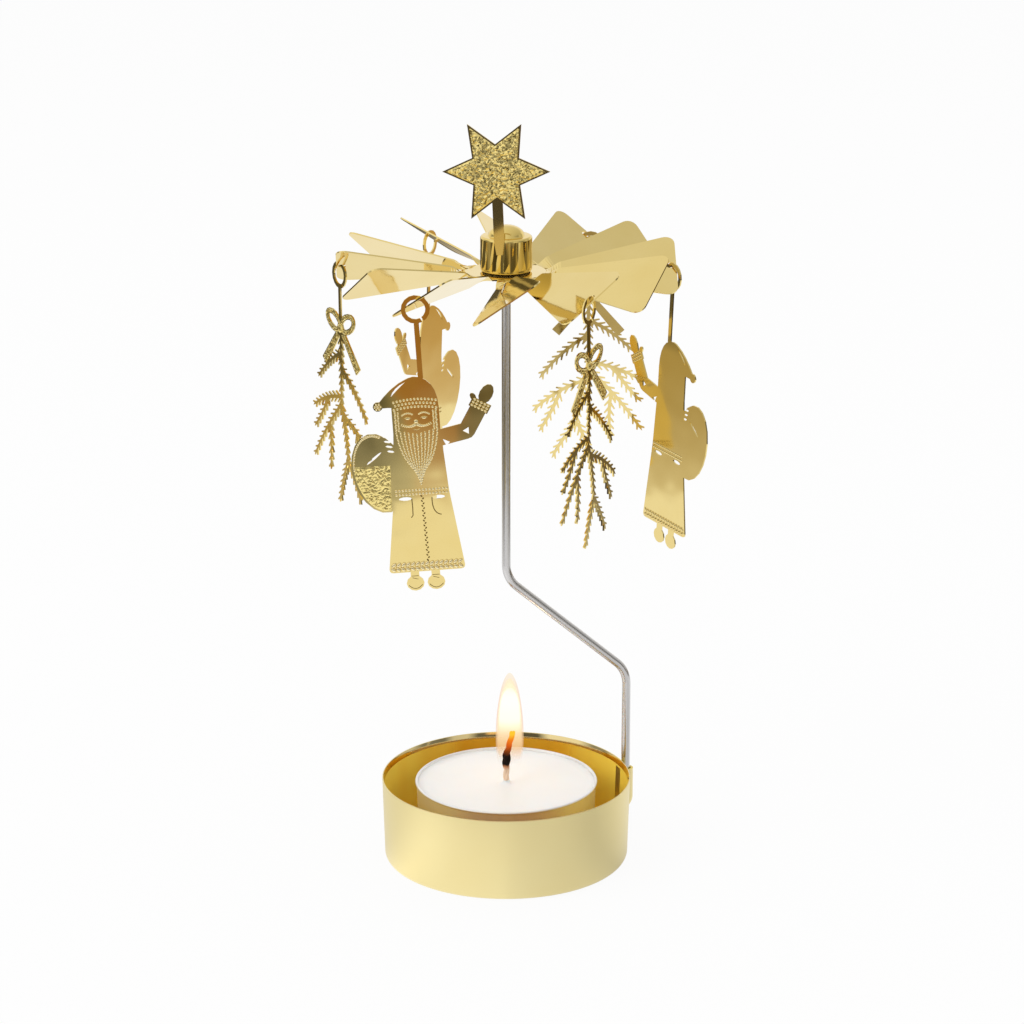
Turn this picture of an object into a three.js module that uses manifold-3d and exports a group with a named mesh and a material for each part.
// Rotating candle holder: a sheet-metal cup for a tealight, a bent wire stand in a pocket of the
// cup, and on the wire's needle point a bladed rotor with a star and six hanging ornaments.
// Millimetres and degrees, +Z up, origin at the centre of the cup's underside.
import * as THREE from 'three';
import { mergeVertices } from 'three/addons/utils/BufferGeometryUtils.js';
import Module from 'manifold-3d';

// Fits and sheet
const SLIP_GAP = 0.25; // beside pieces that slip into each other
const REST_GAP = 0.3; // between faces that rest on each other
const SHEET = 0.3; // rotor, star and ornaments are etched from one sheet

// Base cup
const CUP_RIM_RADIUS = 25.85;
const CUP_TAPER = 0.45; // how much narrower the wall is at its foot
const CUP_HEIGHT = 17.6;
const CUP_WALL = 0.45;
const CUP_CORNER_RADIUS = 1.5;

// Pocket pressed out of the cup's wall for the wire
const POCKET_AZIMUTH = 21;
const RIM_BAND = 2.0; // wall left whole above the pocket's mouth
const POCKET_LENGTH = 6.3; // straight part
const POCKET_TOE = 3.0; // length in which the pocket runs back into the wall

// Wire stand
const WIRE_DIAMETER = 1.8;
const LOWER_BEND_HEIGHT = 37.4;
const UPPER_BEND_HEIGHT = 60.8;
const WIRE_BEND_RADIUS = 6.5;
const NEEDLE_HEIGHT = 130.5;
const NEEDLE_LENGTH = 3;
const NEEDLE_TIP_RADIUS = 0.1;

// Tealight
const TEALIGHT_RADIUS = 19;
const TEALIGHT_HEIGHT = 16;
const TEALIGHT_WALL = 0.3;
const TEALIGHT_TAPER = 0.5;
const TEALIGHT_LIP = 0.3; // how far the rolled rim stands out
const TEALIGHT_LIP_HEIGHT = 0.6;
const TEALIGHT_FOOT_BEVEL = 0.6;
const WAX_BELOW_RIM = 0.5;
const WAX_DISH = 0.3; // how far the surface sinks inside its edge
const WAX_EDGE = 1.2; // width of that sloping edge
const WICK_DIAMETER = 1.3;
const WICK_HEIGHT = 11.4; // above the wax
const WICK_STRAIGHT = 6; // upright part above the wax
const WICK_LEAN = 1.4;
const WICK_BEND_RADIUS = 6;
const TAB_RADIUS = 7;
const TAB_SHEET = 0.3;
const COLLAR_RADIUS = 1.4;
const COLLAR_HEIGHT = 3;

// Hub, placed from the pivot point downwards and upwards
const ROTOR_DROP = 5.6; // rotor disc's middle below the pivot point
const HUB_RADIUS = 5.2;
const HUB_HEIGHT = 7;
const HUB_WALL = 0.4;
const HUB_EDGE_RADIUS = 0.5;
const DOME_RADIUS = 3.65;
const DOME_HEIGHT = 2.1;
const BUSH_NECK_RADIUS = 1.65;
const BUSH_NECK_LENGTH = 2.7; // below the rotor disc
const BUSH_BEAD_RADIUS = 2.25;
const BUSH_BEAD_HEIGHT = 0.8;
const BUSH_BORE_GAP = 0.35; // round the wire
const PIVOT_RADIUS = 1.5;
const PIVOT_SKIRT = 1.6; // depth of the conical seat
const PIVOT_SEAT_RADIUS = 1.1; // mouth of the conical seat

// Rotor
const BLADE_COUNT = 12;
const DISC_RADIUS = 8;
const NECK_WIDTH = 3.4;
const NECK_SHEET = 0.26; // the necks are coined thinner, so that they twist
const NECK_ROOT = 0.6; // how far a neck reaches into the disc
const TWIST_END = 11; // where the blade has its full pitch
const BLADE_TIP = 34;
const BLADE_CHORD = 16.5;
const BLADE_CORNER_RADIUS = 2.5;
const BLADE_PITCH_ANGLE = 34;
const BLADE_RISE_ANGLE = 3; // the blades rise outwards by this angle

// Hanging rings and holes
const FRONT_AZIMUTH = 240; // blade that carries the first ornament
const HANG_YAW_ANGLE = 32; // ornament's face, turned from straight outwards
const RING_RADIUS = 2.8;
const RING_BORE_RADIUS = 1.95;
const RING_DROP = 1.3; // ring's centre below the blade
const RING_SLIT = 0.35;
const RING_SLIT_ANGLE = 28; // from the stem
const RING_EDGE_GAP = 0.17; // between the ring and the blade's outer edge
const HANG_HOLE_RADIUS = 0.85;

// Star
const STAR_AZIMUTH = 257;
const STAR_POINTS = 6;
const STAR_RADIUS = 10.9;
const STAR_NOTCH_RADIUS = 5.45;
const STAR_RISE = 13.95; // centre above the hub's shoulder
const STAR_LEAN_ANGLE = 2.5;
const STAR_STEM_WIDTH = 2.1;
const STAR_STEM_TIP_WIDTH = 1.3;
const STAR_STEM_OVERLAP = 2.8; // along the hub's side
const STAR_TAB_WIDTH = 1;

// Bearded figure ornament, sizes in its own plane
const SANTA_STEM_LENGTH = 10.5;
const SANTA_STEM_WIDTH = 1;
const BODY_SHIFT = -1.5; // middle of the figure beside the stem
const HEAD_WIDTH = 9.2;
const HEAD_HEIGHT = 5.2;
const HAT_HEIGHT = 6;
const TASSEL_REACH = 7.2;
const POMPOM_RADIUS = 0.95;
const COAT_LENGTH = 28.3;
const COAT_WAIST = 12; // below the shoulders
const COAT_WAIST_WIDTH = 10.8;
const COAT_HEM_WIDTH = 14.9;
const HEM_RADIUS = 0.8;
const SHOE_LENGTH = 3.5;
const SHOE_HEIGHT = 3.1;
const ANKLE_WIDTH = 1.7;
const SHOE_SPREAD = 4.1;
const UPPER_ARM_LENGTH = 5.2;
const FOREARM_LENGTH = 4.7;
const ARM_WIDTH = 3.3;
const UPPER_ARM_ANGLE = 11; // from level
const FOREARM_ANGLE = 59;
const CUFF_WIDTH = 4;
const CUFF_LENGTH = 1.9;
const MITTEN_LENGTH = 4.2;
const MITTEN_WIDTH = 2.6;
const THUMB_LENGTH = 1.7;
const THUMB_WIDTH = 1.1;
const THUMB_ANGLE = 60; // from the forearm
const ARMPIT_LENGTH = 1.6;
const ARMPIT_ANGLE = 26; // upper edge of the armpit's cut, down from level
const ARMPIT_OPENING_ANGLE = 39;
const ELBOW_CUT_RADIUS = 0.8; // round the corners of its three-sided cut
const SACK_WIDTH = 10.4;
const SACK_HEIGHT = 16.4;
const SACK_TILT_ANGLE = 12;
const SACK_OVERLAP = 1.9; // onto the figure's side
const SACK_SLIT_LENGTH = 4;
const SACK_SLIT_REACH = 4.9; // its middle from the first finger's slit
const SACK_SLIT_ASIDE_ANGLE = 32; // of that way, from straight down
const SACK_SLIT_ANGLE = 38;
const POCKET_SLOT_LENGTH = 2.6;
const POCKET_SLOT_WIDTH = 0.8;
const POCKET_SLOT_SPREAD = 6.5;
const POCKET_SLOT_DROP = 1.3; // below the waist
const GLOVE_SLIT_COUNT = 4; // between the fingers on the sack
const GLOVE_SLIT_LENGTH = 1.5;
const GLOVE_SLIT_WIDTH = 0.5;

// Spruce branch ornament, sizes in its own plane
const BRANCH_STEM_WIDTH = 0.9;
const BOW_DROP = 11; // knot below the ring's centre
const BOW_LOOP_LENGTH = 6.6;
const BOW_LOOP_WIDTH = 4.2;
const BOW_RIBBON = 1.15;
const BOW_LOOP_ANGLE = 24;
const BOW_TAIL_LENGTH = 10.4;
const BOW_TAIL_ROOT_WIDTH = 1.4;
const BOW_TAIL_WIDTH = 2;
const BOW_TAIL_ANGLE = 41; // each tail, from straight down
const KNOT_RADIUS = 1.25;
const SPRAY_LENGTH = 36.2; // below the knot
const SPRAY_WIDTH = 23.2;
const TWIG_WIDTH = 0.75;
const TWIG_TAPER_SHARE = 0.3;
const NEEDLE_PITCH = 1.5;
const NEEDLE_REACH = 1.6;
const NEEDLE_WIDTH = 0.55; // at its foot
const NEEDLE_TIP_WIDTH = 0.28;
const NEEDLE_SLANT_ANGLE = 48;
const NEEDLE_START_SHARE = 0.35; // first needle of one side, in pitches; the other side starts at twice that
const NEEDLE_TAPER_SHARE = 0.35; // share by which the needles shorten along a twig

const ROUND_STEPS = 56;
const TEALIGHT_STEPS = 32;
const SMALL_ROUND_STEPS = 28;
const HOLE_STEPS = 8;

const wasm = await Module();
wasm.setup();

const radians = THREE.MathUtils.degToRad;
const vector2 = (x, y) => new THREE.Vector2(x, y);
const vector3 = (x, y, z) => new THREE.Vector3(x, y, z);

// A closed triangle mesh as a solid that can be joined and cut.
function solid(geometry) {
  const plain = geometry.index ? geometry.toNonIndexed() : geometry.clone();
  plain.deleteAttribute('normal');
  plain.deleteAttribute('uv');
  const merged = mergeVertices(plain);
  return new wasm.Manifold(new wasm.Mesh({
    numProp: 3,
    vertProperties: Float32Array.from(merged.attributes.position.array),
    triVerts: Uint32Array.from(merged.index.array),
  }));
}

function geometryOf(body) {
  const mesh = body.getMesh();
  const geometry = new THREE.BufferGeometry();
  geometry.setAttribute('position', new THREE.BufferAttribute(Float32Array.from(mesh.vertProperties), 3));
  geometry.setIndex(new THREE.BufferAttribute(Uint32Array.from(mesh.triVerts), 1));
  geometry.computeVertexNormals();
  return geometry;
}

const joined = (bodies) => bodies.reduce((all, body) => all.add(body));

// A turned shape from its profile of radius and height, bottom to top on the outside.
function turned(profile, steps) {
  return solid(new THREE.LatheGeometry(profile, steps).rotateX(Math.PI / 2));
}

// A flat piece of the sheet, lying in its own plane with the sheet's middle at zero.
function plate(shape, steps = 6) {
  const settings = { depth: SHEET, bevelEnabled: false, curveSegments: steps };
  return solid(new THREE.ExtrudeGeometry(shape, settings).translate(0, 0, -SHEET / 2));
}

// A closed skin over a row of convex sections with equal numbers of points.
function loft(sections) {
  const count = sections[0].length;
  const last = (sections.length - 1) * count;
  const triangles = [];
  for (let row = 0; row < last; row += count) {
    for (let i = 0; i < count; i += 1) {
      const here = row + i;
      const next = row + ((i + 1) % count);
      triangles.push(here, next, next + count, here, next + count, here + count);
    }
  }
  for (let i = 1; i < count - 1; i += 1) {
    triangles.push(0, i + 1, i, last, last + i, last + i + 1);
  }
  const geometry = new THREE.BufferGeometry().setFromPoints(sections.flat());
  geometry.setIndex(triangles);
  return solid(geometry);
}

// Points of a quarter round about a centre, from one angle to another.
function arc(centre, radius, from, to, steps) {
  return Array.from({ length: steps + 1 }, (_, i) => {
    const angle = radians(from + ((to - from) * i) / steps);
    return vector2(centre.x + radius * Math.cos(angle), centre.y + radius * Math.sin(angle));
  });
}

// The way of a rod through its corners, each rounded by an arc of the bend radius.
function roundedWay(corners, radius, steps) {
  const way = [corners[0]];
  corners.slice(1, -1).forEach((corner, i) => {
    const before = corners[i].clone().sub(corner).normalize();
    const after = corners[i + 2].clone().sub(corner).normalize();
    const half = before.angleTo(after) / 2;
    const inward = before.clone().add(after).normalize();
    const centre = inward.multiplyScalar(radius / Math.sin(half)).add(corner);
    const start = before.multiplyScalar(radius / Math.tan(half)).add(corner).sub(centre);
    const end = after.multiplyScalar(radius / Math.tan(half)).add(corner).sub(centre);
    const turn = start.angleTo(end);
    for (let step = 0; step <= steps; step += 1) {
      const share = step / steps;
      const spoke = start.clone().multiplyScalar(Math.sin((1 - share) * turn) / Math.sin(turn));
      spoke.addScaledVector(end, Math.sin(share * turn) / Math.sin(turn));
      way.push(spoke.add(centre));
    }
  });
  return [...way, corners.at(-1)];
}

// A path whose steps fall on its own points, so that straight runs take a single step.
class RodPath extends THREE.Curve {
  constructor(points) {
    super();
    this.points = points;
  }

  getPoint(t, target = new THREE.Vector3()) {
    const place = t * (this.points.length - 1);
    const index = Math.min(Math.floor(place), this.points.length - 2);
    return target.lerpVectors(this.points[index], this.points[index + 1], place - index);
  }

  getUtoTmapping(u) {
    return u;
  }
}

function rod(points, radius, sides) {
  const section = new THREE.Shape().absarc(0, 0, radius, 0, Math.PI * 2);
  return solid(new THREE.ExtrudeGeometry(section, {
    steps: points.length - 1,
    curveSegments: sides / 2,
    extrudePath: new RodPath(points),
  }));
}

const gold = (color, roughness) => new THREE.MeshStandardMaterial({ color, roughness, metalness: 1 });
const satinGold = gold(0xe6d596, 0.38);
const polishedGold = gold(0xe0c46c, 0.12);
const steel = new THREE.MeshStandardMaterial({ color: 0xb4aea6, roughness: 0.3, metalness: 1 });
const foil = new THREE.MeshStandardMaterial({ color: 0xd8d8d8, roughness: 0.3, metalness: 1 });
const wax = new THREE.MeshStandardMaterial({ color: 0xf6f2ec, roughness: 0.45, metalness: 0 });
const cotton = new THREE.MeshStandardMaterial({ color: 0x2a2320, roughness: 0.95, metalness: 0 });
const nylon = new THREE.MeshStandardMaterial({ color: 0xf4f4f0, roughness: 0.5, metalness: 0 });

const holder = new THREE.Group();

function add(name, body, material, parent = holder) {
  const mesh = new THREE.Mesh(geometryOf(body), material);
  mesh.name = name;
  parent.add(mesh);
  return mesh;
}

// Base cup: a pressed shell with a flat bottom, a rounded foot and a plain rim.
const cupFootRadius = CUP_RIM_RADIUS - CUP_TAPER;
const cupRadiusAt = (z) => cupFootRadius + (CUP_TAPER * z) / CUP_HEIGHT;
const footCentre = vector2(cupFootRadius - CUP_CORNER_RADIUS, CUP_CORNER_RADIUS);
const wireRadius = WIRE_DIAMETER / 2;
const legRadius = CUP_RIM_RADIUS + SLIP_GAP + wireRadius;
const pocketTop = CUP_HEIGHT - RIM_BAND;
const pocketFloor = pocketTop - POCKET_LENGTH;
const wireFoot = pocketFloor + CUP_WALL;

// One level of the pocket: from inside the wall straight out, with a round end about the wire.
function pocketSection(z, back, centre, radius) {
  const end = arc(vector2(centre, 0), radius, -90, 90, 8);
  return [vector2(back, radius), vector2(back, -radius), ...end].map((p) => vector3(p.x, p.y, z));
}

// The pocket as a skin about the wire: straight to its floor, then running back into the wall.
function pocketSkin(radius, floor, back, top) {
  const steps = 6;
  const toe = Array.from({ length: steps + 1 }, (_, i) => {
    const share = i / steps;
    const z = floor - POCKET_TOE * (1 - share);
    const hidden = cupRadiusAt(z) - CUP_WALL - radius;
    const centre = hidden + (legRadius - hidden) * Math.sqrt(1 - (1 - share) ** 2);
    return pocketSection(z, Math.min(back(z), centre), centre, radius);
  });
  return loft([...toe, pocketSection(top, back(top), legRadius, radius)]);
}

function baseCup() {
  const shell = turned([
    vector2(0, 0),
    ...arc(footCentre, CUP_CORNER_RADIUS, -90, 0, 4),
    vector2(CUP_RIM_RADIUS, CUP_HEIGHT),
    vector2(CUP_RIM_RADIUS - CUP_WALL, CUP_HEIGHT),
    ...arc(footCentre, CUP_CORNER_RADIUS - CUP_WALL, 0, -90, 4),
    vector2(0, CUP_WALL),
  ], ROUND_STEPS);
  const bore = wireRadius + SLIP_GAP;
  const inWall = (z) => cupRadiusAt(z) - CUP_WALL / 2;
  const pastWall = (z) => cupRadiusAt(z) - 2 * CUP_WALL - wireRadius;
  const outside = pocketSkin(bore + CUP_WALL, pocketFloor, inWall, pocketTop);
  const inside = pocketSkin(bore, wireFoot, pastWall, pocketTop + SLIP_GAP);
  const turn = [0, 0, POCKET_AZIMUTH];
  return shell.add(outside.rotate(turn)).subtract(inside.rotate(turn));
}

add('base_cup', baseCup(), satinGold);

// Wire stand: up outside the rim, slanting to the axis and straight up to a ground point.
function wireStand() {
  const corners = [
    vector3(legRadius, 0, wireFoot),
    vector3(legRadius, 0, LOWER_BEND_HEIGHT),
    vector3(0, 0, UPPER_BEND_HEIGHT),
    vector3(0, 0, NEEDLE_HEIGHT),
  ];
  const wire = rod(roundedWay(corners, WIRE_BEND_RADIUS, 6), wireRadius, 12);
  const waste = WIRE_DIAMETER;
  const grinding = turned([
    vector2(NEEDLE_TIP_RADIUS, NEEDLE_HEIGHT),
    vector2(wireRadius, NEEDLE_HEIGHT - NEEDLE_LENGTH),
    vector2(waste, NEEDLE_HEIGHT - NEEDLE_LENGTH),
    vector2(waste, NEEDLE_HEIGHT + REST_GAP),
    vector2(NEEDLE_TIP_RADIUS, NEEDLE_HEIGHT + REST_GAP),
    vector2(NEEDLE_TIP_RADIUS, NEEDLE_HEIGHT),
  ], SMALL_ROUND_STEPS);
  return wire.subtract(grinding);
}

const stand = add('wire_stand', wireStand(), steel);
stand.rotation.z = radians(POCKET_AZIMUTH);

// Tealight: foil cup, wax, wick and the tab that holds the wick at the bottom.
const tealight = new THREE.Group();
tealight.position.z = CUP_WALL + REST_GAP;
holder.add(tealight);

const foilRadius = TEALIGHT_RADIUS - TEALIGHT_LIP;
const foilFootRadius = foilRadius - TEALIGHT_TAPER;
const lipBottom = TEALIGHT_HEIGHT - TEALIGHT_LIP_HEIGHT;
add('tealight_cup', turned([
  vector2(0, 0),
  vector2(foilFootRadius - TEALIGHT_FOOT_BEVEL, 0),
  vector2(foilFootRadius, TEALIGHT_FOOT_BEVEL),
  vector2(foilRadius, lipBottom),
  vector2(TEALIGHT_RADIUS, lipBottom + TEALIGHT_LIP),
  vector2(TEALIGHT_RADIUS, TEALIGHT_HEIGHT),
  vector2(foilRadius - TEALIGHT_WALL, TEALIGHT_HEIGHT),
  vector2(foilFootRadius - TEALIGHT_WALL, TEALIGHT_FOOT_BEVEL + TEALIGHT_WALL),
  vector2(foilFootRadius - TEALIGHT_FOOT_BEVEL - TEALIGHT_WALL, TEALIGHT_WALL),
  vector2(0, TEALIGHT_WALL),
], TEALIGHT_STEPS), foil, tealight);

const wickRadius = WICK_DIAMETER / 2;
const wickBore = wickRadius + SLIP_GAP;
const wellFloor = TEALIGHT_WALL + REST_GAP;
const tabTop = wellFloor + TAB_SHEET;
const collarTop = wellFloor + COLLAR_HEIGHT;
const waxEdgeHeight = TEALIGHT_HEIGHT - WAX_BELOW_RIM;
const waxHeight = waxEdgeHeight - WAX_DISH;
const waxRadius = foilRadius - TEALIGHT_WALL - SLIP_GAP;
const waxFootRadius = waxRadius - TEALIGHT_TAPER;
const tabWell = TAB_RADIUS + SLIP_GAP;
const collarWell = COLLAR_RADIUS + SLIP_GAP;
add('tealight_wax', turned([
  vector2(tabWell, wellFloor),
  vector2(waxFootRadius - TEALIGHT_FOOT_BEVEL, wellFloor),
  vector2(waxFootRadius, wellFloor + TEALIGHT_FOOT_BEVEL),
  vector2(waxRadius, waxEdgeHeight),
  vector2(waxRadius - WAX_EDGE, waxHeight),
  vector2(wickBore, waxHeight),
  vector2(wickBore, collarTop + REST_GAP),
  vector2(collarWell, collarTop + REST_GAP),
  vector2(collarWell, tabTop + REST_GAP),
  vector2(tabWell, tabTop + REST_GAP),
  vector2(tabWell, wellFloor),
], TEALIGHT_STEPS), wax, tealight);

add('wick', rod(roundedWay([
  vector3(0, 0, wellFloor),
  vector3(0, 0, waxHeight + WICK_STRAIGHT),
  vector3(WICK_LEAN, 0, waxHeight + WICK_HEIGHT),
], WICK_BEND_RADIUS, 3), wickRadius, 8), cotton, tealight);

add('wick_tab', turned([
  vector2(wickBore, wellFloor),
  vector2(TAB_RADIUS, wellFloor),
  vector2(TAB_RADIUS, tabTop),
  vector2(COLLAR_RADIUS, tabTop),
  vector2(COLLAR_RADIUS, collarTop),
  vector2(wickBore, collarTop),
  vector2(wickBore, wellFloor),
], SMALL_ROUND_STEPS), steel, tealight);

// Rotating head: everything that turns, with its origin at the pivot point above the needle.
const head = new THREE.Group();
head.position.z = NEEDLE_HEIGHT + REST_GAP;
holder.add(head);

const discTop = -ROTOR_DROP + SHEET / 2;
const discBottom = -ROTOR_DROP - SHEET / 2;
const hubFoot = discTop + REST_GAP;
const hubShoulder = hubFoot + HUB_HEIGHT;
const hubCeiling = hubShoulder - HUB_WALL;
const hubBore = HUB_RADIUS - HUB_WALL;
const domeBore = DOME_RADIUS - HUB_WALL;

// Height of a dome's surface at a radius, for the outer or the inner skin.
const domeHeight = (base, radius, at) => base + DOME_HEIGHT * Math.sqrt(1 - (at / radius) ** 2);
const domeCurve = (base, radius) => arc(vector2(0, 0), radius, 0, 90, 4)
  .map((p) => vector2(p.x, domeHeight(base, radius, p.x)));

const pivotTop = domeHeight(hubCeiling, domeBore, PIVOT_RADIUS) - REST_GAP;
const bushTop = hubCeiling - REST_GAP;
const bushBore = wireRadius + BUSH_BORE_GAP;
const pivotWell = PIVOT_RADIUS + SLIP_GAP;
const pivotShelf = -PIVOT_SKIRT - REST_GAP;
const neckFoot = discBottom - BUSH_NECK_LENGTH;
const beadTop = discBottom - REST_GAP;

add('bearing_bush', turned([
  vector2(bushBore, neckFoot),
  vector2(BUSH_NECK_RADIUS, neckFoot),
  vector2(BUSH_NECK_RADIUS, beadTop - BUSH_BEAD_HEIGHT),
  vector2(BUSH_BEAD_RADIUS, beadTop - BUSH_BEAD_HEIGHT / 3),
  vector2(BUSH_BEAD_RADIUS, beadTop),
  vector2(BUSH_NECK_RADIUS, beadTop),
  vector2(BUSH_NECK_RADIUS, hubFoot),
  vector2(hubBore - SLIP_GAP, hubFoot),
  vector2(hubBore - SLIP_GAP, bushTop),
  vector2(pivotWell, bushTop),
  vector2(pivotWell, pivotShelf),
  vector2(bushBore, pivotShelf),
  vector2(bushBore, neckFoot),
], SMALL_ROUND_STEPS), nylon, head);

add('pivot_cup', turned([
  vector2(0, 0),
  vector2(PIVOT_SEAT_RADIUS, -PIVOT_SKIRT),
  vector2(PIVOT_RADIUS, -PIVOT_SKIRT),
  vector2(PIVOT_RADIUS, pivotTop),
  vector2(0, pivotTop),
], SMALL_ROUND_STEPS), steel, head);

// Star plane: local x to the right and y up as seen from outside, z outwards.
const starFoot = -STAR_RISE - STAR_STEM_OVERLAP;
const starInside = HUB_RADIUS + SLIP_GAP;
const starTurn = STAR_AZIMUTH + 90;

// A box in the star's plane at the foot of its stem, from inside the hub's wall outwards.
function footBox(width, height, inner, outer) {
  const box = new THREE.BoxGeometry(width, height, outer - inner);
  return solid(box.translate(0, starFoot + SHEET / 2, (inner + outer) / 2));
}

// Leans a body in the star's plane about the stem's foot, and stands it up beside the hub.
function standStar(body) {
  const leaning = body.translate([0, -starFoot, 0]).rotate([0, 0, STAR_LEAN_ANGLE]);
  const upright = leaning.translate([0, starFoot, 0]).rotate([90, 0, 0]);
  return upright.rotate([0, 0, starTurn]).translate([0, 0, hubShoulder + STAR_RISE]);
}

function hubCap() {
  const edge = vector2(HUB_RADIUS - HUB_EDGE_RADIUS, hubFoot + HUB_EDGE_RADIUS);
  const brow = vector2(HUB_RADIUS - HUB_EDGE_RADIUS, hubShoulder - HUB_EDGE_RADIUS);
  const shell = turned([
    vector2(hubBore, hubFoot),
    ...arc(edge, HUB_EDGE_RADIUS, -90, 0, 3).filter((p) => p.x > hubBore),
    ...arc(brow, HUB_EDGE_RADIUS, 0, 90, 3),
    ...domeCurve(hubShoulder, DOME_RADIUS),
    ...domeCurve(hubCeiling, domeBore).reverse(),
    vector2(hubBore, hubCeiling),
    vector2(hubBore, hubFoot),
  ], SMALL_ROUND_STEPS);
  const slot = footBox(STAR_TAB_WIDTH + 2 * SLIP_GAP, SHEET + 2 * SLIP_GAP, hubBore - SLIP_GAP, starInside);
  return shell.subtract(standStar(slot));
}

add('hub_cap', hubCap(), polishedGold, head);

function star() {
  const outline = Array.from({ length: 2 * STAR_POINTS }, (_, i) => {
    const radius = i % 2 ? STAR_NOTCH_RADIUS : STAR_RADIUS;
    const angle = (i * Math.PI) / STAR_POINTS;
    return vector2(radius * Math.cos(angle), radius * Math.sin(angle));
  });
  const stem = new THREE.Shape([
    vector2(-STAR_STEM_WIDTH / 2, -STAR_NOTCH_RADIUS / 2),
    vector2(-STAR_STEM_WIDTH / 2, -STAR_RISE),
    vector2(-STAR_STEM_TIP_WIDTH / 2, starFoot),
    vector2(STAR_STEM_TIP_WIDTH / 2, starFoot),
    vector2(STAR_STEM_WIDTH / 2, -STAR_RISE),
    vector2(STAR_STEM_WIDTH / 2, -STAR_NOTCH_RADIUS / 2),
  ]);
  const face = plate(new THREE.Shape(outline)).add(plate(stem));
  const tab = footBox(STAR_TAB_WIDTH, SHEET, hubBore, starInside + SHEET / 2);
  return standStar(face.translate([0, 0, starInside + SHEET / 2]).add(tab));
}

add('star', star(), polishedGold, head);

// Directions of a blade: along it, across its chord and square to its sheet.
function bladeFrame(azimuth, pitch) {
  const angle = radians(azimuth);
  const rise = radians(BLADE_RISE_ANGLE);
  const tilt = radians(pitch);
  const outward = vector3(Math.cos(angle), Math.sin(angle), 0);
  const tangent = vector3(-Math.sin(angle), Math.cos(angle), 0);
  const up = vector3(0, 0, 1);
  const along = outward.clone().multiplyScalar(Math.cos(rise)).addScaledVector(up, Math.sin(rise));
  const lift = along.clone().cross(tangent);
  const chord = tangent.clone().multiplyScalar(Math.cos(tilt)).addScaledVector(lift, Math.sin(tilt));
  return { outward, tangent, along, chord, normal: along.clone().cross(chord) };
}

const bladeRoot = vector3(0, 0, -ROTOR_DROP - DISC_RADIUS * Math.tan(radians(BLADE_RISE_ANGLE)));
const bladePitchAt = (r) => BLADE_PITCH_ANGLE * THREE.MathUtils.smoothstep(r, DISC_RADIUS, TWIST_END);
const bladeChordAt = (r) => THREE.MathUtils.mapLinear(r, DISC_RADIUS, BLADE_TIP, NECK_WIDTH, BLADE_CHORD);

// A blade: a neck that twists out of the disc's plane, then a flat vane with rounded corners.
function blade(azimuth) {
  const section = (r, width, thickness) => {
    const { along, chord, normal } = bladeFrame(azimuth, bladePitchAt(r));
    const middle = bladeRoot.clone().addScaledVector(along, r);
    return [[-1, -1], [1, -1], [1, 1], [-1, 1]].map(([across, over]) => middle.clone()
      .addScaledVector(chord, (across * width) / 2)
      .addScaledVector(normal, (over * thickness) / 2));
  };
  const twistSteps = 6;
  const neck = Array.from({ length: twistSteps + 1 }, (_, i) => {
    const r = DISC_RADIUS + ((TWIST_END - DISC_RADIUS) * i) / twistSteps;
    return section(r, bladeChordAt(r), i === twistSteps ? SHEET : NECK_SHEET);
  });
  const corner = arc(vector2(BLADE_TIP - BLADE_CORNER_RADIUS, 0), BLADE_CORNER_RADIUS, 90, 0, 6);
  const vane = corner.map((p) => {
    const inset = BLADE_CORNER_RADIUS - p.y;
    return section(p.x, bladeChordAt(p.x) - 2 * inset, SHEET);
  });
  const root = section(DISC_RADIUS - NECK_ROOT, NECK_WIDTH - NECK_ROOT, NECK_SHEET);
  return loft([root, ...neck, ...vane]);
}

// Where an ornament's ring goes round the blade's edge and through its hole: the hole's centre
// and the ring's centre. The ring stands in the upright plane square to facing.
function hanging(azimuth) {
  const { outward, tangent, along, chord, normal } = bladeFrame(azimuth, BLADE_PITCH_ANGLE);
  const yaw = radians(HANG_YAW_ANGLE);
  const facing = outward.multiplyScalar(Math.cos(yaw)).addScaledVector(tangent, Math.sin(yaw));
  const crossing = facing.clone().cross(normal).normalize();
  crossing.multiplyScalar(Math.sign(crossing.dot(along)));
  const down = facing.clone().cross(crossing);
  down.multiplyScalar(-Math.sign(down.z));
  const inner = Math.sqrt(RING_BORE_RADIUS ** 2 - RING_DROP ** 2);
  const outer = Math.sqrt(RING_RADIUS ** 2 - RING_DROP ** 2);
  const middle = (inner + outer) / 2;
  const lengthwise = crossing.dot(along);
  const crosswise = crossing.dot(chord);
  const reach = inner * lengthwise - (SHEET / 2) * Math.abs(crosswise) - RING_EDGE_GAP;
  const foot = bladeRoot.clone()
    .addScaledVector(along, BLADE_TIP - reach)
    .addScaledVector(chord, middle * crosswise);
  const hole = foot.clone().addScaledVector(crossing, -middle);
  const centre = foot.clone().addScaledVector(down, RING_DROP);
  return { hole, centre, along, normal };
}

// Blades clockwise from the one in front, every second one with a hanging hole.
const bladeStep = 360 / BLADE_COUNT;
const bladeAzimuths = Array.from({ length: BLADE_COUNT }, (_, i) => FRONT_AZIMUTH - i * bladeStep);
const hangAzimuths = bladeAzimuths.filter((_, i) => i % 2 === 0);

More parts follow.
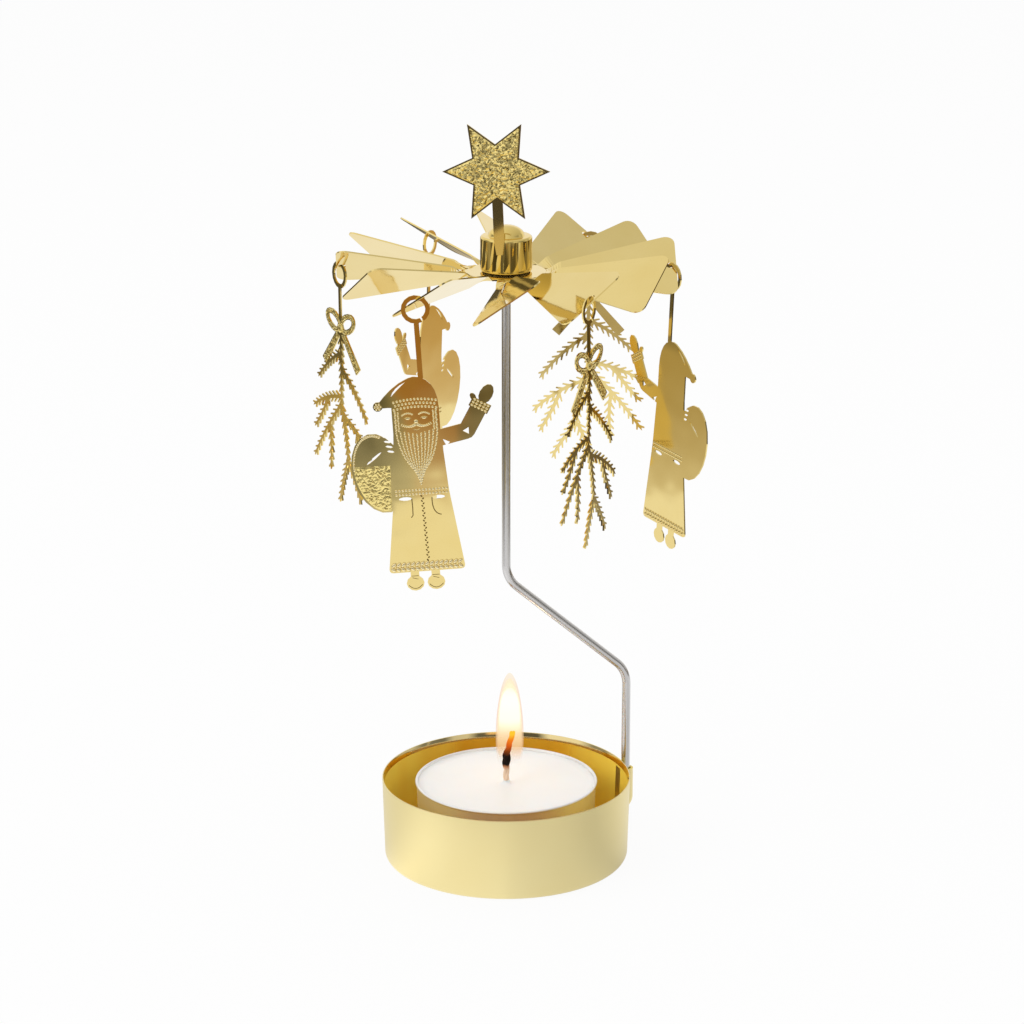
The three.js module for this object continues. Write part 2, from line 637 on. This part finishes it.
function rotor() {
  const disc = new THREE.Shape().absarc(0, 0, DISC_RADIUS, 0, Math.PI * 2);
  disc.holes.push(new THREE.Path().absarc(0, 0, BUSH_NECK_RADIUS + SLIP_GAP, 0, Math.PI * 2));
  const middle = plate(disc, SMALL_ROUND_STEPS / 2).translate([0, 0, -ROTOR_DROP]);
  const sheet = joined([middle, ...bladeAzimuths.map(blade)]);
  const punches = hangAzimuths.map((azimuth) => {
    const { hole, along, normal } = hanging(azimuth);
    const punch = new THREE.CylinderGeometry(HANG_HOLE_RADIUS, HANG_HOLE_RADIUS, 4 * SHEET, HOLE_STEPS);
    const pose = new THREE.Matrix4().makeBasis(along, normal, along.clone().cross(normal));
    return solid(punch.applyMatrix4(pose.setPosition(hole)));
  });
  return sheet.subtract(joined(punches));
}

add('rotor', rotor(), polishedGold, head);

// Flat shapes of the ornaments, x to the right and y up from the ring's centre.
const polygon = (points) => plate(new THREE.Shape(points));

function ellipse(x, y, width, height, tilt = 0, steps = 6) {
  const outline = new THREE.Shape();
  outline.absellipse(x, y, width / 2, height / 2, 0, Math.PI * 2, false, radians(tilt));
  return plate(outline, steps);
}

// A straight strap between two points with square ends.
function strap(from, to, width, endWidth = width) {
  const side = to.clone().sub(from).normalize().rotateAround(vector2(0, 0), Math.PI / 2);
  return polygon([
    from.clone().addScaledVector(side, -width / 2),
    to.clone().addScaledVector(side, -endWidth / 2),
    to.clone().addScaledVector(side, endWidth / 2),
    from.clone().addScaledVector(side, width / 2),
  ]);
}

// A point at a distance from another, at an angle from level.
const polar = (from, length, angle) => from.clone()
  .add(vector2(length * Math.cos(radians(angle)), length * Math.sin(radians(angle))));

// A cutter is the same flat shape, thicker than the sheet.
const through = (body) => body.scale([1, 1, 2]);

// An open ring and the stem below it, in one with the ornament.
function ringAndStem(length, width) {
  const wire = new THREE.Shape().absarc(0, 0, RING_RADIUS, 0, Math.PI * 2);
  wire.holes.push(new THREE.Path().absarc(0, 0, RING_BORE_RADIUS, 0, Math.PI * 2));
  const slitAngle = -90 + RING_SLIT_ANGLE;
  const slit = strap(polar(vector2(0, 0), RING_BORE_RADIUS / 2, slitAngle),
    polar(vector2(0, 0), RING_RADIUS + RING_SLIT, slitAngle), RING_SLIT);
  const middle = -(RING_RADIUS + RING_BORE_RADIUS) / 2;
  const stem = strap(vector2(0, middle), vector2(0, -RING_RADIUS - length), width);
  return plate(wire, HOLE_STEPS).subtract(through(slit)).add(stem);
}

// A bearded figure with a tasselled cap, a raised mitten, a long coat and a sack on the shoulder.
function santa() {
  const hatTop = -RING_RADIUS - SANTA_STEM_LENGTH;
  const brim = hatTop - HAT_HEIGHT;
  const shoulder = brim - HEAD_HEIGHT;
  const waist = shoulder - COAT_WAIST;
  const hem = shoulder - COAT_LENGTH;
  const left = BODY_SHIFT - HEAD_WIDTH / 2;
  const right = BODY_SHIFT + HEAD_WIDTH / 2;
  const overlap = POMPOM_RADIUS / 2;

  // Curve points of the cap, in shares of the head's width and the cap's height.
  const across = (share) => left + HEAD_WIDTH * share;
  const up = (share) => brim + HAT_HEIGHT * share;
  const hat = new THREE.Shape();
  hat.moveTo(left, brim - overlap);
  hat.lineTo(right, brim - overlap);
  hat.bezierCurveTo(right, up(0.6), across(0.8), hatTop, BODY_SHIFT, hatTop);
  hat.bezierCurveTo(across(0.3), hatTop, left, up(0.6), left, brim - overlap);

  const pompom = vector2(BODY_SHIFT - TASSEL_REACH, brim + overlap);
  const tassel = new THREE.Shape();
  tassel.moveTo(BODY_SHIFT, hatTop);
  tassel.quadraticCurveTo(across(0.12), up(0.9), pompom.x, pompom.y + overlap);
  tassel.lineTo(pompom.x, pompom.y - overlap);
  tassel.quadraticCurveTo(left, brim + overlap, across(0.2), brim - overlap);
  tassel.lineTo(BODY_SHIFT, brim);

  const fold = new THREE.Shape();
  fold.moveTo(across(0.34), up(0.85));
  fold.quadraticCurveTo(across(0.06), up(0.68), left, up(0.36));
  fold.quadraticCurveTo(across(0.14), up(0.6), across(0.34), up(0.85));

  const hemLeft = BODY_SHIFT - COAT_HEM_WIDTH / 2;
  const hemRight = BODY_SHIFT + COAT_HEM_WIDTH / 2;
  const coat = new THREE.Shape();
  coat.moveTo(left, brim);
  coat.lineTo(left, shoulder);
  coat.lineTo(BODY_SHIFT - COAT_WAIST_WIDTH / 2, waist);
  coat.lineTo(hemLeft, hem + HEM_RADIUS);
  coat.quadraticCurveTo(hemLeft, hem, hemLeft + HEM_RADIUS, hem);
  coat.lineTo(hemRight - HEM_RADIUS, hem);
  coat.quadraticCurveTo(hemRight, hem, hemRight, hem + HEM_RADIUS);
  coat.lineTo(BODY_SHIFT + COAT_WAIST_WIDTH / 2, waist);
  coat.lineTo(right, shoulder);
  coat.lineTo(right, brim);

  const shoes = [-1, 1].flatMap((side) => {
    const x = BODY_SHIFT - POMPOM_RADIUS / 2 + (side * SHOE_SPREAD) / 2;
    const sole = hem - SHOE_HEIGHT / 2 - HEM_RADIUS;
    return [
      ellipse(x, sole, SHOE_LENGTH, SHOE_HEIGHT),
      strap(vector2(x, hem + HEM_RADIUS), vector2(x, sole), ANKLE_WIDTH),
    ];
  });

  const armRoot = vector2(right - ARM_WIDTH / 2, shoulder - ARM_WIDTH / 2);
  const elbow = polar(armRoot, UPPER_ARM_LENGTH + ARM_WIDTH / 2, UPPER_ARM_ANGLE);
  const wrist = polar(elbow, FOREARM_LENGTH, FOREARM_ANGLE);
  const cuffEnd = polar(wrist, CUFF_LENGTH, FOREARM_ANGLE);
  const palm = polar(cuffEnd, MITTEN_LENGTH / 2 - overlap, FOREARM_ANGLE);
  const thumb = polar(cuffEnd, CUFF_WIDTH / 2, FOREARM_ANGLE + 90);
  const arm = [
    strap(armRoot, elbow, ARM_WIDTH),
    ellipse(elbow.x, elbow.y, ARM_WIDTH, ARM_WIDTH),
    strap(elbow, polar(wrist, overlap, FOREARM_ANGLE), ARM_WIDTH),
    strap(wrist, cuffEnd, CUFF_WIDTH),
    ellipse(palm.x, palm.y, MITTEN_LENGTH, MITTEN_WIDTH, FOREARM_ANGLE),
    ellipse(thumb.x, thumb.y, THUMB_LENGTH, THUMB_WIDTH, FOREARM_ANGLE + THUMB_ANGLE, 4),
  ];
  const armpit = vector2(right + SLIP_GAP, shoulder - ARM_WIDTH / 2);
  const armpitCut = polygon([
    armpit,
    polar(armpit, ARMPIT_LENGTH, -ARMPIT_ANGLE - ARMPIT_OPENING_ANGLE),
    polar(armpit, ARMPIT_LENGTH, -ARMPIT_ANGLE),
  ]);
  const elbowCut = polygon([0, 120, 240].map((turn) => polar(elbow, ELBOW_CUT_RADIUS, FOREARM_ANGLE + turn)));

  const sack = ellipse(left - SACK_WIDTH / 2 + SACK_OVERLAP, shoulder + overlap - SACK_HEIGHT / 2,
    SACK_WIDTH, SACK_HEIGHT, SACK_TILT_ANGLE, 10);
  const knuckle = vector2(left - GLOVE_SLIT_LENGTH, shoulder - overlap);
  const fingers = Array.from({ length: GLOVE_SLIT_COUNT }, (_, i) => {
    const step = i * GLOVE_SLIT_WIDTH;
    return ellipse(knuckle.x + step / 2, knuckle.y - 2 * step, GLOVE_SLIT_LENGTH, GLOVE_SLIT_WIDTH,
      -SACK_TILT_ANGLE, 3);
  });
  const crease = polar(knuckle, SACK_SLIT_REACH, -90 - SACK_SLIT_ASIDE_ANGLE);
  const sackSlit = ellipse(crease.x, crease.y, SACK_SLIT_LENGTH, GLOVE_SLIT_WIDTH, SACK_SLIT_ANGLE, 4);
  const pockets = [-1, 1].map((side) => ellipse(BODY_SHIFT + (side * POCKET_SLOT_SPREAD) / 2,
    waist - POCKET_SLOT_DROP, POCKET_SLOT_LENGTH, POCKET_SLOT_WIDTH, 0, 5));

  const figure = joined([
    ringAndStem(SANTA_STEM_LENGTH + overlap, SANTA_STEM_WIDTH),
    plate(hat),
    plate(tassel, 5),
    ellipse(pompom.x, pompom.y, 2 * POMPOM_RADIUS, 2 * POMPOM_RADIUS, 0, 5),
    plate(coat, 3),
    ...shoes,
    ...arm,
    sack,
  ]);
  const windows = joined([plate(fold, 4), armpitCut, elbowCut, sackSlit, ...fingers, ...pockets]);
  return figure.subtract(through(windows));
}

// The middle line of a twig, bowed to one side by a share of its length.
function spineOf(from, to, bow) {
  const aside = to.clone().sub(from).rotateAround(vector2(0, 0), Math.PI / 2);
  return new THREE.QuadraticBezierCurve(from, from.clone().lerp(to, 0.5).addScaledVector(aside, bow), to);
}

// A twig: a tapering strip along its spine with needles slanting forward on both sides.
function twig(spine) {
  const count = Math.max(2, Math.round(spine.getLength() / NEEDLE_PITCH));
  const slant = radians(NEEDLE_SLANT_ANGLE);
  const spread = NEEDLE_WIDTH / 2 / Math.sin(slant);
  const needles = (side) => Array.from({ length: count }, (_, i) => {
    const share = (i + (side > 0 ? NEEDLE_START_SHARE : 2 * NEEDLE_START_SHARE)) / count;
    const foot = spine.getPointAt(share);
    const ahead = spine.getTangentAt(share);
    const aside = ahead.clone().rotateAround(vector2(0, 0), (side * Math.PI) / 2);
    const root = foot.clone().addScaledVector(aside, (TWIG_WIDTH / 2) * (1 - TWIG_TAPER_SHARE * share));
    const reach = NEEDLE_REACH * (1 - NEEDLE_TAPER_SHARE * share);
    const tip = foot.clone()
      .addScaledVector(ahead, reach * Math.cos(slant))
      .addScaledVector(aside, reach * Math.sin(slant));
    const blunt = ahead.clone().rotateAround(vector2(0, 0), side * (slant - Math.PI / 2));
    return [
      root.clone().addScaledVector(ahead, -spread),
      tip.clone().addScaledVector(blunt, -NEEDLE_TIP_WIDTH / 2),
      tip.clone().addScaledVector(blunt, NEEDLE_TIP_WIDTH / 2),
      root.clone().addScaledVector(ahead, spread),
    ];
  }).flat();
  const [from, to] = [spine.getPointAt(0), spine.getPointAt(1)];
  const end = to.addScaledVector(spine.getTangentAt(1), NEEDLE_REACH / 3);
  return polygon([from, ...needles(1), end, ...needles(-1).reverse()]);
}

// Spruce branch hanging upside down, tied with a bow.
function branch() {
  const knot = vector2(0, -BOW_DROP);
  const bow = [-1, 1].flatMap((side) => {
    const angle = side > 0 ? BOW_LOOP_ANGLE : 180 - BOW_LOOP_ANGLE;
    const middle = polar(knot, BOW_LOOP_LENGTH / 2 - KNOT_RADIUS / 4, angle);
    const tilt = side * BOW_LOOP_ANGLE;
    const loop = ellipse(middle.x, middle.y, BOW_LOOP_LENGTH, BOW_LOOP_WIDTH, tilt, 8);
    const eye = ellipse(middle.x, middle.y, BOW_LOOP_LENGTH - 2 * BOW_RIBBON,
      BOW_LOOP_WIDTH - 2 * BOW_RIBBON, tilt, 5);
    const tailEnd = polar(knot, BOW_TAIL_LENGTH, -90 + side * BOW_TAIL_ANGLE);
    return [loop.subtract(through(eye)), strap(knot, tailEnd, BOW_TAIL_ROOT_WIDTH, BOW_TAIL_WIDTH)];
  });
  // Ends of the twigs, in shares of half the spray's width and of its length.
  const end = (across, down) => vector2((across * SPRAY_WIDTH) / 2, knot.y - down * SPRAY_LENGTH);
  const grow = (parent, share, to, bend) => spineOf(parent.getPointAt(share), to, bend);
  const trunk = spineOf(knot, end(-0.03, 0.44), 0.02);
  const leftTrunk = grow(trunk, 1, end(-1, 0.79), -0.06);
  const rightTrunk = grow(trunk, 1, end(0.17, 0.75), 0.06);
  const leftUpper = grow(trunk, 0.9, end(-0.99, 0.5), -0.12);
  const rightUpper = grow(rightTrunk, 0.2, end(0.95, 0.68), 0.12);
  const spines = [
    trunk, leftTrunk, rightTrunk, leftUpper, rightUpper,
    grow(trunk, 0.32, end(-0.8, 0.32), -0.1),
    grow(trunk, 0.52, end(0.84, 0.48), 0.1),
    grow(leftUpper, 0.45, end(-0.97, 0.62), 0.06),
    grow(leftTrunk, 0.4, end(-0.45, 0.83), 0.08),
    grow(rightUpper, 0.45, end(0.83, 0.8), -0.06),
    grow(rightTrunk, 1, end(-0.14, 1), -0.05),
    grow(rightTrunk, 1, end(0.59, 0.96), 0.05),
  ];
  const stemLength = BOW_DROP - RING_RADIUS;
  return joined([
    ringAndStem(stemLength, BRANCH_STEM_WIDTH),
    ellipse(knot.x, knot.y, 2 * KNOT_RADIUS, 2 * KNOT_RADIUS, 0, 4),
    ...bow,
    ...spines.map(twig),
  ]);
}

// Middle of a flat body's mass, summed over its triangles.
function massCentre(body) {
  const { vertProperties, triVerts } = body.getMesh();
  const corner = (i) => vector3().fromArray(vertProperties, 3 * triVerts[i]);
  const sum = vector3(0, 0, 0);
  let volume = 0;
  for (let i = 0; i < triVerts.length; i += 3) {
    const [a, b, c] = [corner(i), corner(i + 1), corner(i + 2)];
    const part = a.dot(b.clone().cross(c)) / 6;
    volume += part;
    sum.addScaledVector(a.add(b).add(c), part / 4);
  }
  return sum.divideScalar(volume);
}

// Hangs an ornament at rest: its ring about the ring centre, its mass straight below.
function hang(name, body, azimuth) {
  const middle = massCentre(body);
  const hanger = new THREE.Group();
  hanger.position.copy(hanging(azimuth).centre);
  hanger.rotation.z = radians(azimuth + 90 + HANG_YAW_ANGLE);
  const upright = new THREE.Group();
  upright.rotation.x = Math.PI / 2;
  const ornament = add(name, body, polishedGold, upright);
  ornament.rotation.z = -Math.atan2(middle.x, -middle.y);
  hanger.add(upright);
  head.add(hanger);
}

const figure = santa();
const spray = branch();
hangAzimuths.forEach((azimuth, i) => {
  const number = Math.floor(i / 2) + 1;
  const [name, body] = i % 2 === 0 ? ['santa', figure] : ['branch', spray];
  hang(`${name}_${number}`, body, azimuth);
});

export default holder;
